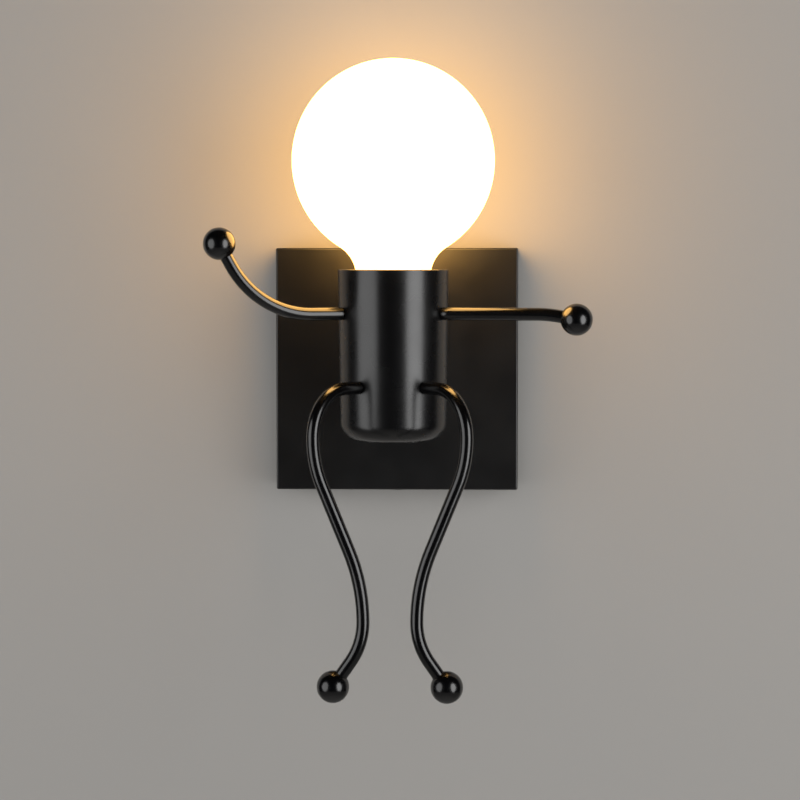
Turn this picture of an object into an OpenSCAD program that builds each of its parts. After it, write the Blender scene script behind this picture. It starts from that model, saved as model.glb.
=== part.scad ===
// Wall lamp in the form of a small standing figure: a tapered cup for a body, a globe bulb
// for a head, bent-rod arms and legs with ball ends, on a square wall canopy.
// Millimetres, +Z up, +Y into the wall. The origin is on the wall, at the canopy's centre.

/* [Canopy and wall strap] */
// Side of the square canopy
canopy_side = 120; // [100:1:150]
// Depth of the canopy, from the wall to its front
canopy_depth = 25; // [23:0.5:32]
// Sheet thickness of the canopy
canopy_sheet = 1; // [0.8:0.1:1.5]
// Width of the wall strap
strap_width = 22; // [20:1:30]
// Sheet thickness of the wall strap
strap_sheet = 1.5; // [1:0.1:2]
// Length of the strap's two ears, from the wall
ear_depth = 14; // [12:0.5:18]
// Distance of the canopy screws from the wall
ear_screw_depth = 9; // [7:0.5:10]
// Room between an ear and the canopy's side wall
ear_gap = 0.5; // [0.3:0.1:1]
// Distance between the centres of the two wall slots
slot_spacing = 60; // [56:1:80]
// Length of each wall slot, end to end
slot_length = 14; // [8:0.5:16]
// Width of each wall slot
slot_width = 5; // [4:0.1:6]
// Diameter of the hole for the supply cable
cable_hole_d = 10.5; // [8:0.5:12]
// Height of the cable hole above the canopy's centre
cable_hole_rise = 6; // [5.5:0.5:7]

/* [Stand-off] */
// Distance from the wall to the axis of the cup
reach = 75; // [70:1:95]
// Outer diameter of the hollow threaded nipple
nipple_d = 10; // [9:0.5:11]
// Bore of the nipple, for the wires
nipple_bore = 7; // [6:0.5:7.5]
// Outer diameter of the tube between canopy and cup
standoff_d = 15; // [13:0.5:20]
// Width across the flats of the nipple's nuts
nipple_nut_flats = 14; // [13:0.5:17]
// Thickness of the nut inside the canopy
rear_nut_t = 4; // [3:0.5:5]
// Thickness of the thin nut inside the cup
front_nut_t = 3; // [2:0.5:3.5]

/* [Cup] */
// Outer diameter of the cup at its rim
rim_d = 52; // [50:0.5:60]
// Outer diameter of the cup at its base, before rounding
base_d = 50; // [48:0.5:60]
// Height of the cup
cup_height = 80; // [74:1:95]
// Radius of the cup's rounded bottom edge
cup_corner_r = 8; // [4:0.5:12]
// Sheet thickness of the cup
cup_sheet = 1; // [0.8:0.1:1.5]
// Height of the rim above the canopy's centre
rim_height = 49.3; // [44:0.1:60]

/* [Limbs] */
// Diameter of the arm and leg rods
rod_d = 6; // [5.5:0.1:7]
// Diameter of the threaded stem that goes through the cup's wall
stem_d = 5; // [4:0.1:5.2]
// Diameter of the ball hands and feet
ball_d = 14.8; // [12:0.1:18]
// Depth of the blind hole in each ball
ball_hole = 5.5; // [4:0.5:6]
// Distance of the arm roots below the rim
arm_below_rim = 20.5; // [16:0.5:26]
// Angle by which the arm roots are turned forward from the sides
arm_sweep = 25; // [15:1:35]
// Distance of the leg roots below the rim
leg_below_rim = 54.5; // [48:0.5:58]
// Angle of the leg roots from straight ahead
leg_angle = 37; // [28:1:42]
// Width across the flats of the limb nuts
limb_nut_flats = 8; // [7:0.5:9]
// Thickness of the limb nuts
limb_nut_t = 2.7; // [2:0.1:3.2]
// Outer diameter of the limb washers
limb_washer_d = 10; // [9:0.5:12]
// Thickness of the limb washers
limb_washer_t = 0.8; // [0.5:0.1:1.2]

/* [Left arm] */
// Straight run at the root of the raised arm
left_root_run = 15.4; // [10:0.1:20]
// Bend radius of the raised arm
left_bend_r = 44.6; // [35:0.1:55]
// Bend angle of the raised arm
left_bend = 60; // [40:1:75]
// Straight run from the bend to the hand
left_end_run = 4.1; // [0.5:0.1:15]

/* [Right arm] */
// Straight run at the root of the level arm
right_root_run = 1; // [0.5:0.1:4]
// Radius of the bend that turns the level arm sideways
right_turn_r = 8; // [7:0.5:12]
// Angle of the bend that turns the level arm sideways
right_turn = 15; // [5:1:25]
// Straight run of the level arm
right_run = 41; // [25:0.1:60]
// Bend radius near the hand
right_bend_r = 60; // [40:1:90]
// Bend angle near the hand
right_bend = 10.6; // [5:0.1:25]
// Straight run from the bend to the hand
right_end_run = 0.1; // [0.1:0.1:10]

/* [Legs] */
// Straight run at the root of a leg
leg_root_run = 10.5; // [6:0.5:16]
// Radius of the bend that turns a leg down
hip_bend_r = 21.5; // [15:0.1:28]
// Straight run of the thigh
thigh_run = 0.3; // [0.1:0.1:8]
// Angle by which a leg leans inwards
leg_lean = 22.2; // [10:0.1:24]
// Bend radius where the lean starts
knee_bend_r = 57; // [40:1:70]
// Straight run of the shin
shin_run = 31.4; // [20:0.1:34]
// Bend radius where the lean ends
ankle_bend_r = 86; // [60:0.5:90]
// Angle by which a foot points outwards
foot_splay = 35; // [20:1:50]
// Bend radius of the foot
foot_bend_r = 32; // [25:1:50]
// Straight run from the bend to the foot's ball
foot_run = 6.35; // [3:0.05:15]

/* [Bulb] */
// Diameter of the globe
globe_d = 95; // [80:1:110]
// Thickness of the glass
glass_t = 0.8; // [0.6:0.1:1.2]
// Diameter of the glass neck
neck_d = 35; // [33:0.5:37]
// Radius of the hollow curve between globe and neck
neck_curve_r = 16; // [10:0.5:25]
// Radius of the shoulder at the foot of the neck
shoulder_r = 4.6; // [3:0.1:6]
// Straight run of the neck
neck_run = 0.96; // [0.5:0.01:6]
// Length of the screw cap with its contact
cap_length = 27; // [25:0.5:30]
// Crest diameter of the cap's thread
thread_d = 26.2; // [25.5:0.1:26.6]
// Depth of the thread
thread_depth = 1; // [0.6:0.1:1.2]
// Pitch of the thread
thread_pitch = 3.629; // [3:0.001:4]
// Clearance of the thread on the radius
thread_gap = 0.25; // [0.2:0.05:0.4]
// Distance of the bulb's contact tip below the cup's rim
tip_below_rim = 35.6; // [32:0.1:38]

/* [Lampholder] */
// Thickness of the porcelain floor
holder_floor = 4.5; // [3.5:0.1:6]
// Height of the bulb's contact tip above the porcelain floor
contact_rise = 3.2; // [2.8:0.1:5]
// Distance of the two fixing screws from the axis
holder_screw_x = 9; // [8:0.1:9.5]
// Width of the bracket under the holder
bracket_width = 11; // [8:0.5:12]
// Span of the bracket, outside to outside
bracket_span = 26; // [24:0.5:30]
// Sheet thickness of the bracket
bracket_sheet = 1.5; // [1:0.1:2]
// Distance of the cup's two base screws from the axis
cup_screw_x = 8; // [7:0.1:8.5]

/* [Wiring] */
// Outer diameter of each wire
wire_d = 2; // [1.6:0.1:2.2]
// Width of the terminal block
block_w = 18; // [17:0.5:20]
// Height of the terminal block
block_h = 13; // [11:0.5:14]
// Depth of the terminal block, out from the strap
block_t = 11; // [10:0.5:12]
// Distance of each pole from the block's middle
pole_x = 5.2; // [5:0.1:5.5]
// Outer diameter of the brass clamps
clamp_d = 5.4; // [4.8:0.1:5.6]

/* [Hidden] */
$fn = 96;

// Finishes
satin_black = "#1b1b1d";
zinc = "#b9bcc0";
brass = "#c9a24a";
nickel = "#c8c5bc";
porcelain = "#f1efe9";
nylon = "#e9e6dc";
opal = "#fff2d8";

// Clearances: a loose hole, a thread or spigot, a seat between moving pieces, a contact, a wire
hole_gap = 0.5;
spigot_gap = 0.1;
seat_gap = 0.25;
contact_gap = 0.2;
wire_hole_d = wire_d + 0.4;
past = 1;

// Standard screws: diameter, low head and pan head
m4_d = 4;
low_head_d = 7.5;
low_head_t = 1.4;
m3_d = 3;
pan_d = 5.5;
pan_t = 2;
m4_pan_d = 7;
m4_pan_t = 2.4;

// Cup
cup_bottom = rim_height - cup_height;
cup_floor = cup_bottom + cup_sheet;
cup_taper = atan((rim_d - base_d) / 2 / cup_height);
function cup_r(z) = base_d / 2 + (rim_d - base_d) / 2 * (z - cup_bottom) / cup_height;
function cup_inner_r(z) = cup_r(z) - cup_sheet;

// Canopy, nipple and stand-off: distances from the wall
canopy_front_inner = canopy_depth - canopy_sheet;
lock_washer_t = 1;
lug_t = 0.8;
rear_nut_out = canopy_front_inner - lock_washer_t - lug_t;
nipple_proud = 1.2;
nipple_rear = rear_nut_out - rear_nut_t - nipple_proud;
ear_out = canopy_side / 2 - canopy_sheet - ear_gap;

// Inside the cup's back wall: distances from the axis
saddle_d = 16;
saddle_edge_t = 0.6;
saddle_back_r = cup_inner_r(0) - contact_gap / 4;
saddle_flat = sqrt(pow(saddle_back_r, 2) - pow(saddle_d / 2, 2)) - saddle_edge_t;
front_nut_flat = saddle_flat - front_nut_t;
front_proud = 0.6;
nipple_front = front_nut_flat - front_proud;

// Limb roots: heights, and distances from the axis
arm_z = rim_height - arm_below_rim;
leg_z = rim_height - leg_below_rim;
right_arm_dir = -arm_sweep;
left_arm_dir = 180 + arm_sweep;
right_leg_dir = leg_angle - 90;
stem_proud = 0.6;
rod_blend = 1.004;
function washer_seat(z) = sqrt(pow(cup_inner_r(z), 2) - pow(limb_washer_d / 2, 2)) - seat_gap;
function stem_inner(z) = washer_seat(z) - limb_washer_t - limb_nut_t - stem_proud;
function shoulder(z) = cup_r(z) + seat_gap;

// Limb rods, as runs [length] and bends [radius, angle, direction] from root to end.
// Direction 0 bends towards the underside of a level rod, 180 towards its top, 90 to the left.
left_arm_steps = [[left_root_run], [left_bend_r, left_bend, 180], [left_end_run + ball_hole]];
right_arm_steps = [
    [right_root_run], [right_turn_r, right_turn, 90], [right_run],
    [right_bend_r, right_bend, 0], [right_end_run + ball_hole]
];
// A leg turns down in line with its root, and then bends in a plane parallel to the wall.
knee_dir = leg_angle - 90;
leg_steps = [
    [leg_root_run], [hip_bend_r, 90, 0], [thigh_run],
    [knee_bend_r, leg_lean, knee_dir], [shin_run], [ankle_bend_r, leg_lean, knee_dir + 180],
    [foot_bend_r, foot_splay, knee_dir + 180], [foot_run + ball_hole]
];

// Bulb heights
tip_z = rim_height - tip_below_rim;
cap_top = tip_z + cap_length;
tip_t = 1.2;
insulator_t = 4.8;
cap_bottom = tip_z + tip_t + insulator_t;
collar_h = 4.5;
cap_thread_top = cap_top - collar_h;
root_r = thread_d / 2 - thread_depth;
cap_wall = 0.9;
collar_r = thread_d / 2 + 0.2;
globe_r = globe_d / 2;
neck_r = neck_d / 2;
neck_top = cap_top + shoulder_r + neck_run;
globe_rise = sqrt(pow(globe_r + neck_curve_r, 2) - pow(neck_r + neck_curve_r, 2));
globe_z = neck_top + globe_rise;
globe_seam = globe_z - globe_rise * globe_r / (globe_r + neck_curve_r);
stem_hole_r = 8;

// Lampholder
floor_top = tip_z - contact_rise;
holder_base = floor_top - holder_floor;
holder_top_gap = 1.5;
holder_top = cap_top - holder_top_gap;
shell_wall = 0.6;
shell_r = thread_d / 2 + thread_gap + shell_wall;
shell_bottom = floor_top;
shell_top = cap_thread_top;
holder_bore_r = shell_r + contact_gap;
holder_room = 1;
holder_r = min(nipple_front, stem_inner(leg_z), stem_inner(arm_z)) - holder_room;
waist = 1.2;
live_y = 9.5;
neutral_y = -(shell_r + root_r) / 2;
rivet_d = 2.4;
post = 5;
post_h = 5.5;
post_wire_z = holder_base - post_h / 2;
post_screw_d = 2.5;
post_head_d = 4;
post_head_t = 1;

// Terminal block
block_room = 2.4;
block_z = block_room + block_h / 2 - (slot_spacing - slot_length) / 2;
block_top = block_z + block_h / 2;
clamp_out = strap_sheet + block_t / 2;
clamp_bore = 3.2;
clamp_h = block_h - 1;
grub_rows = [-block_h / 4, block_h / 4];
grub_h = 3;

// Earth connection
earth_room = 5.5;
earth_z = cable_hole_rise + cable_hole_d / 2 + earth_room;
small_lug_d = 8;
large_lug_d = nipple_d + 6;
barrel_d = 3.4;
barrel_l = 6;
lug_tab = 3;

// Wire routes, as points from end to end. Rear points are measured from the wall, front
// points from the cup's axis.
wire_x = 1.7;
function rear_route(side) = [
    [side * pole_x, -clamp_out, block_z],
    [side * pole_x, -clamp_out, block_top],
    [side * pole_x, -clamp_out - 0.5, block_top + 2.6],
    [side * 4.2, -clamp_out - 3, -1.8],
    [side * 2.6, -nipple_rear + 3.5, -0.2],
    [side * wire_x, -nipple_rear, 0],
    [side * wire_x, -canopy_depth, 0],
    [side * wire_x, -reach + nipple_front + 8, 0],
    [side * wire_x, -reach + nipple_front, 0]
];
live_route = concat(rear_route(-1), [
    [-1.2, -reach + nipple_front - 2.8, post_wire_z / 2],
    [-0.2, -reach + live_y + post / 2 + 1.2, post_wire_z],
    [0, -reach + live_y + post / 2 - 0.5, post_wire_z],
    [0, -reach + live_y, post_wire_z]
]);
neutral_route = concat(rear_route(1), [
    [3, -reach + 13, -3],
    [4, -reach + 7, -5.5],
    [4, -reach, -6.5],
    [2.6, -reach - 5, -3.5],
    [1, -reach + neutral_y + post / 2 + 2.4, post_wire_z - 1.4],
    [0, -reach + neutral_y + post / 2 + 0.4, post_wire_z],
    [0, -reach + neutral_y, post_wire_z]
]);
large_barrel_x = large_lug_d / 2 + lug_tab;
small_barrel_x = small_lug_d / 2 + lug_tab - 1;
large_barrel_out = rear_nut_out + lug_t - barrel_d / 2;
small_barrel_out = strap_sheet + barrel_d / 2;
earth_route = [
    [large_barrel_x + 1, -large_barrel_out, 0],
    [large_barrel_x + barrel_l + 0.8, -large_barrel_out, 0],
    [large_barrel_x + barrel_l + 4, -large_barrel_out + 0.8, 1],
    [large_barrel_x + barrel_l + 7, -13, earth_z / 2],
    [large_barrel_x + barrel_l + 3, -6, earth_z - 2],
    [small_barrel_x + barrel_l + 5, -small_barrel_out, earth_z],
    [small_barrel_x + barrel_l + 0.8, -small_barrel_out, earth_z],
    [small_barrel_x + 1, -small_barrel_out, earth_z]
];

// Places: the cup's axis, a direction out from the axis, and a distance out from the wall
module at_axis() {
    translate([0, -reach, 0]) children();
}

module toward(angle, z) {
    at_axis() translate([0, 0, z]) rotate([0, 0, angle]) rotate([0, 90, 0]) children();
}

module from_wall(distance) {
    translate([0, -distance, 0]) rotate([90, 0, 0]) children();
}

// Round bar between two points
module bar(from, to, d) {
    run = to - from;
    translate(from) rotate([0, acos(run.z / norm(run)), atan2(run.y, run.x)])
        cylinder(d = d, h = norm(run));
}

module ring(outer, inner, h) {
    difference() {
        cylinder(d = outer, h = h);
        translate([0, 0, -past]) cylinder(d = inner, h = h + 2 * past);
    }
}

module hex_nut(flats, hole, h) {
    difference() {
        cylinder(d = flats / cos(30), h = h, $fn = 6);
        translate([0, 0, -past]) cylinder(d = hole, h = h + 2 * past);
    }
}

// Screw along -Z from the underside of its head, with a hexagon socket
module socket_screw(d, length, head_d, head_t) {
    socket_flats = d * 0.6;
    socket_depth = head_t * 0.6;
    difference() {
        union() {
            translate([0, 0, -length]) cylinder(d = d, h = length);
            cylinder(d = head_d, h = head_t);
        }
        translate([0, 0, head_t - socket_depth])
            cylinder(d = socket_flats / cos(30), h = socket_depth + past, $fn = 6);
    }
}

// Screw along -Z with a straight driver slot
module slotted_screw(d, length, head_d, head_t) {
    slot_w = head_d * 0.16;
    difference() {
        union() {
            translate([0, 0, -length]) cylinder(d = d, h = length);
            cylinder(d = head_d, h = head_t);
        }
        translate([-head_d, -slot_w / 2, head_t / 2]) cube([2 * head_d, slot_w, head_t]);
    }
}

// A bent rod along +Z, drawn step by step; a ball a hair wider than the rod fuses each step
// to the last
module bent_rod(steps, d, i = 0) {
    if (i > 0 && i < len(steps)) sphere(d = d * rod_blend);
    if (i < len(steps)) {
        s = steps[i];
        if (len(s) == 1) {
            cylinder(d = d, h = s[0]);
            translate([0, 0, s[0]]) bent_rod(steps, d, i + 1);
        } else {
            rotate([0, 0, s[2]]) {
                translate([s[0], 0, 0]) rotate([90, 0, 0]) rotate([0, 0, 180 - s[1]])
                    rotate_extrude(angle = s[1]) translate([s[0], 0]) circle(d = d);
                translate([s[0] * (1 - cos(s[1])), 0, s[0] * sin(s[1])]) rotate([0, s[1], 0])
                    rotate([0, 0, -s[2]]) bent_rod(steps, d, i + 1);
            }
        }
    }
}

// The place at the end of a bent rod
module at_rod_end(steps, i = 0) {
    if (i == len(steps)) {
        children();
    } else {
        s = steps[i];
        if (len(s) == 1) {
            translate([0, 0, s[0]]) at_rod_end(steps, i + 1) children();
        } else {
            rotate([0, 0, s[2]]) translate([s[0] * (1 - cos(s[1])), 0, s[0] * sin(s[1])])
                rotate([0, s[1], 0]) rotate([0, 0, -s[2]]) at_rod_end(steps, i + 1) children();
        }
    }
}

// Points of a smooth curve through p, n to each span
function on_curve(a, b, c, d, t) =
    0.5 * (2 * b + (c - a) * t + (2 * a - 5 * b + 4 * c - d) * t * t + (3 * b - a - 3 * c + d) * t * t * t);
function smooth(p, n) = [
    for (i = [0 : len(p) - 2]) for (k = [0 : n - 1])
        on_curve(p[max(i - 1, 0)], p[i], p[i + 1], p[min(i + 2, len(p) - 1)], k / n),
    p[len(p) - 1]
];

// Round wire swept along points; up is any direction that the wire never runs along
module wire(route, up) {
    sides = 8;
    p = smooth(route, 4);
    last = len(p) - 1;
    points = [
        for (i = [0 : last])
            let (run = p[min(i + 1, last)] - p[max(i - 1, 0)])
            let (ahead = run / norm(run))
            let (across = cross(up, ahead) / norm(cross(up, ahead)))
            let (over = cross(ahead, across))
            for (k = [0 : sides - 1])
                p[i] + wire_d / 2 * (cos(360 * k / sides) * across + sin(360 * k / sides) * over)
    ];
    walls = [
        for (i = [0 : last - 1]) for (k = [0 : sides - 1])
            let (a = i * sides + k, b = i * sides + (k + 1) % sides)
            for (f = [[a, a + sides, b], [b, a + sides, b + sides]]) f
    ];
    start_cap = [for (k = [1 : sides - 2]) [0, k, k + 1]];
    end_cap = [for (k = [1 : sides - 2]) [last * sides, last * sides + k + 1, last * sides + k]];
    polyhedron(points, concat(walls, start_cap, end_cap));
}

// Tube wall between an outer and an inner surface, both given ring by ring from the bottom up
thread_sides = 32;
module ring_wall(outer, inner) {
    n = thread_sides;
    m = len(outer);
    k_in = m * n;
    rows = len(inner);
    points = concat([for (r = outer) each r], [for (r = inner) each r]);
    skin = [
        for (i = [0 : m - 2]) for (k = [0 : n - 1])
            let (a = i * n + k, b = i * n + (k + 1) % n)
            for (f = [[a, a + n, b], [b, a + n, b + n]]) f
    ];
    lining = [
        for (i = [0 : rows - 2]) for (k = [0 : n - 1])
            let (a = k_in + i * n + k, b = k_in + i * n + (k + 1) % n)
            for (f = [[a, b, a + n], [b, b + n, a + n]]) f
    ];
    foot = [
        for (k = [0 : n - 1]) let (j = (k + 1) % n)
            for (f = [[k, j, k_in + k], [j, k_in + j, k_in + k]]) f
    ];
    top_out = (m - 1) * n;
    top_in = k_in + (rows - 1) * n;
    head = [
        for (k = [0 : n - 1]) let (j = (k + 1) % n)
            for (f = [[top_out + k, top_in + k, top_out + j], [top_out + j, top_in + k, top_in + j]]) f
    ];
    polyhedron(points, concat(skin, lining, foot, head));
}

// One ring of points at height z, with the radius as a function of angle
function plain_ring(r, z) = [
    for (k = [0 : thread_sides - 1])
        [r * cos(360 * k / thread_sides), r * sin(360 * k / thread_sides), z]
];

// Thread form: 0 at the root, 1 at the crest, right-handed
function thread_form(angle, z) = (1 + cos(360 * z / thread_pitch - angle)) / 2;
function fade(z, low, high) =
    min(1, max(0, (z - low) / thread_pitch * 2), max(0, (high - z) / thread_pitch * 2));
rings_per_pitch = 6;
function thread_heights(low, high) =
    let (count = ceil((high - low) / thread_pitch * rings_per_pitch))
    [for (i = [0 : count]) low + (high - low) * i / count];
function outside_thread(low, high) = [
    for (z = thread_heights(low, high)) [
        for (k = [0 : thread_sides - 1])
            let (angle = 360 * k / thread_sides)
            let (r = root_r + thread_depth * fade(z, low, high) * thread_form(angle, z))
            [r * cos(angle), r * sin(angle), z]
    ]
];
function inside_thread(low, high) = [
    for (z = thread_heights(low, high)) [
        for (k = [0 : thread_sides - 1])
            let (angle = 360 * k / thread_sides)
            let (filled = thread_depth * fade(z, low, high) * (1 - thread_form(angle, z)))
            let (r = thread_d / 2 + thread_gap - filled)
            [r * cos(angle), r * sin(angle), z]
    ]
];

// Wall side

module mounting_bracket() {
    color(zinc) from_wall(0) difference() {
        union() {
            translate([-strap_width / 2, -ear_out, 0]) cube([strap_width, 2 * ear_out, strap_sheet]);
            for (side = [-1, 1])
                translate([-strap_width / 2, side * (ear_out - strap_sheet / 2) - strap_sheet / 2, 0])
                    cube([strap_width, strap_sheet, ear_depth]);
        }
        translate([0, cable_hole_rise, -past]) cylinder(d = cable_hole_d, h = strap_sheet + 2 * past);
        for (side = [-1, 1]) translate([0, side * slot_spacing / 2, -past]) {
            straight = slot_length - slot_width;
            for (end = [-1, 1]) translate([0, end * straight / 2, 0])
                cylinder(d = slot_width, h = strap_sheet + 2 * past);
            translate([-slot_width / 2, -straight / 2, 0])
                cube([slot_width, straight, strap_sheet + 2 * past]);
        }
        translate([0, earth_z, -past]) cylinder(d = m4_d + spigot_gap, h = strap_sheet + 2 * past);
        translate([0, block_z, -past]) cylinder(d = m3_d + spigot_gap, h = strap_sheet + 2 * past);
        translate([0, 0, ear_screw_depth]) rotate([90, 0, 0])
            cylinder(d = m4_d + spigot_gap, h = 2 * canopy_side, center = true);
    }
}

module canopy() {
    inner = canopy_side - 2 * canopy_sheet;
    color(satin_black) from_wall(0) difference() {
        translate([-canopy_side / 2, -canopy_side / 2, 0]) cube([canopy_side, canopy_side, canopy_depth]);
        translate([-inner / 2, -inner / 2, -past]) cube([inner, inner, canopy_front_inner + past]);
        cylinder(d = nipple_d + hole_gap, h = canopy_depth + past);
        translate([0, 0, ear_screw_depth]) rotate([90, 0, 0])
            cylinder(d = m4_d + hole_gap, h = 2 * canopy_side, center = true);
    }
}

module canopy_screws() {
    length = canopy_sheet + ear_gap + strap_sheet + 2;
    color(satin_black) from_wall(ear_screw_depth) for (side = [-1, 1])
        rotate([-90 * side, 0, 0]) translate([0, 0, canopy_side / 2])
            socket_screw(m4_d, length, low_head_d, low_head_t);
}

module terminal_block() {
    color(nylon) from_wall(strap_sheet) translate([0, block_z, 0]) difference() {
        translate([-block_w / 2, -block_h / 2, 0]) cube([block_w, block_h, block_t]);
        for (side = [-1, 1]) translate([side * pole_x, 0, block_t / 2]) {
            rotate([90, 0, 0]) cylinder(d = clamp_d + spigot_gap, h = block_h + past, center = true);
            for (row = grub_rows) translate([0, row, 0]) cylinder(d = m3_d + hole_gap, h = block_t);
        }
        translate([0, 0, -past]) cylinder(d = m3_d + hole_gap, h = block_t + 2 * past);
    }
}

module terminal_clamps() {
    color(brass) for (side = [-1, 1]) from_wall(clamp_out) translate([side * pole_x, block_z, 0])
        difference() {
            rotate([90, 0, 0]) cylinder(d = clamp_d, h = clamp_h, center = true);
            rotate([90, 0, 0]) cylinder(d = clamp_bore, h = clamp_h + past, center = true);
            for (row = grub_rows) translate([0, row, 0]) cylinder(d = m3_d + spigot_gap, h = clamp_d);
        }
}

module terminal_screws() {
    color(zinc) for (side = [-1, 1]) for (row = grub_rows)
        from_wall(clamp_out) translate([side * pole_x, block_z + row, wire_d / 2 + spigot_gap / 2])
            difference() {
                cylinder(d = m3_d, h = grub_h);
                translate([-m3_d, -0.3, grub_h - 0.8]) cube([2 * m3_d, 0.6, past]);
            }
}

module terminal_block_screw() {
    color(zinc) from_wall(strap_sheet + block_t) translate([0, block_z, 0])
        slotted_screw(m3_d, block_t + strap_sheet, pan_d, pan_t);
}

module earth_screw() {
    color(brass) from_wall(strap_sheet + lug_t) translate([0, earth_z, 0])
        slotted_screw(m4_d, lug_t + strap_sheet, m4_pan_d, m4_pan_t);
}

// Ring terminal: ring, tab and crimp barrel; the barrel lies towards +Z
module ring_lug(ring_d, hole_d, barrel_x) {
    difference() {
        union() {
            cylinder(d = ring_d, h = lug_t);
            translate([0, -barrel_d / 2, 0]) cube([barrel_x, barrel_d, lug_t]);
            translate([barrel_x, 0, barrel_d / 2]) rotate([0, 90, 0]) cylinder(d = barrel_d, h = barrel_l);
        }
        translate([0, 0, -past]) cylinder(d = hole_d, h = lug_t + 2 * past);
        translate([barrel_x + past / 2, 0, barrel_d / 2]) rotate([0, 90, 0])
            cylinder(d = wire_hole_d, h = barrel_l);
    }
}

module earth_lugs() {
    color(nickel) {
        from_wall(rear_nut_out + lug_t / 2) rotate([0, 180, 180]) translate([0, 0, -lug_t / 2])
            ring_lug(large_lug_d, nipple_d + spigot_gap, large_barrel_x);
        from_wall(strap_sheet) translate([0, earth_z, 0])
            ring_lug(small_lug_d, m4_d + spigot_gap, small_barrel_x);
    }
}

module earth_wire() {
    color("#7fa32b") wire(earth_route, [0, 0, 1]);
}

// Stand-off

module nipple() {
    length = reach - nipple_front - nipple_rear;
    color(zinc) from_wall(nipple_rear) ring(nipple_d, nipple_bore, length);
}

module rear_lock_washer() {
    teeth = 12;
    outer = nipple_d + 6;
    color(zinc) from_wall(rear_nut_out + lug_t) difference() {
        ring(outer, nipple_d + spigot_gap, lock_washer_t);
        for (k = [0 : teeth - 1]) rotate(360 * k / teeth) translate([outer / 2, 0, -past])
            cylinder(d = 1.4, h = lock_washer_t + 2 * past);
    }
}

module rear_nut() {
    color(zinc) from_wall(rear_nut_out - rear_nut_t)
        hex_nut(nipple_nut_flats, nipple_d + spigot_gap, rear_nut_t);
}

module standoff_tube() {
    color(satin_black) difference() {
        from_wall(canopy_depth) ring(standoff_d, nipple_d + hole_gap, reach - canopy_depth);
        at_axis() translate([0, 0, -standoff_d])
            cylinder(r1 = cup_r(-standoff_d) + contact_gap / 4, r2 = cup_r(standoff_d) + contact_gap / 4,
                     h = 2 * standoff_d);
    }
}

module saddle_washer() {
    color(zinc) intersection() {
        from_wall(reach - saddle_back_r - past)
            ring(saddle_d, nipple_d + spigot_gap, saddle_back_r + past - saddle_flat);
        at_axis() translate([0, 0, -saddle_d])
            cylinder(r1 = cup_inner_r(-saddle_d) - contact_gap / 4,
                     r2 = cup_inner_r(saddle_d) - contact_gap / 4, h = 2 * saddle_d, $fn = 360);
    }
}

module front_nut() {
    color(zinc) from_wall(reach - saddle_flat)
        hex_nut(nipple_nut_flats, nipple_d + spigot_gap, front_nut_t);
}

module live_wire() {
    color("#6b3f22") wire(live_route, [1, 0, 0]);
}

module neutral_wire() {
    color("#2f6fb3") wire(neutral_route, [1, 0, 0]);
}

// Body

// Half section of the cup, each face moved inwards by inset
module cup_section(inset) {
    base_r = base_d / 2 - inset;
    corner_r = cup_corner_r - inset;
    centre = [base_r - corner_r * (1 - sin(cup_taper)) / cos(cup_taper), corner_r];
    touch = centre + corner_r * [cos(cup_taper), -sin(cup_taper)];
    translate([0, cup_bottom + inset]) {
        polygon([[0, 0], [centre.x, 0], centre, touch, [rim_d / 2 - inset, cup_height], [0, cup_height]]);
        translate(centre) circle(corner_r);
    }
}

module cup() {
    color(satin_black) difference() {
        at_axis() rotate_extrude() difference() {
            cup_section(0);
            cup_section(cup_sheet);
        }
        from_wall(canopy_depth) cylinder(d = nipple_d + hole_gap, h = reach - canopy_depth);
        for (angle = [right_arm_dir, left_arm_dir]) toward(angle, arm_z)
            cylinder(d = stem_d + hole_gap, h = rim_d);
        for (angle = [right_leg_dir, 180 - right_leg_dir]) toward(angle, leg_z)
            cylinder(d = stem_d + hole_gap, h = rim_d);
        for (side = [-1, 1]) at_axis() translate([side * cup_screw_x, 0, cup_bottom - past])
            cylinder(d = m4_d + hole_gap, h = cup_sheet + 2 * past);
    }
}

module cup_screws() {
    color(satin_black) for (side = [-1, 1]) at_axis() translate([side * cup_screw_x, 0, cup_bottom])
        rotate([180, 0, 0]) socket_screw(m4_d, cup_sheet + bracket_sheet + 1, low_head_d, low_head_t);
}

module holder_bracket() {
    half = bracket_span / 2;
    foot_in = cup_screw_x - m4_d;
    color(zinc) at_axis() difference() {
        translate([0, bracket_width / 2, 0]) rotate([90, 0, 0]) linear_extrude(bracket_width) {
            translate([-half, holder_base - bracket_sheet]) square([bracket_span, bracket_sheet]);
            for (side = [0, 1]) mirror([side, 0]) {
                translate([half - bracket_sheet, cup_floor]) square([bracket_sheet, holder_base - cup_floor]);
                translate([foot_in, cup_floor]) square([half - foot_in, bracket_sheet]);
            }
        }
        for (side = [-1, 1]) {
            translate([side * cup_screw_x, 0, cup_floor - past])
                cylinder(d = m4_d + spigot_gap, h = bracket_sheet + 2 * past);
            translate([side * holder_screw_x, 0, holder_base - bracket_sheet - past])
                cylinder(d = m3_d + spigot_gap, h = bracket_sheet + 2 * past);
        }
    }
}

module holder_screws() {
    color(zinc) for (side = [-1, 1]) at_axis() translate([side * holder_screw_x, 0, floor_top])
        slotted_screw(m3_d, holder_floor + bracket_sheet + 1, pan_d, pan_t);
}

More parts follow.
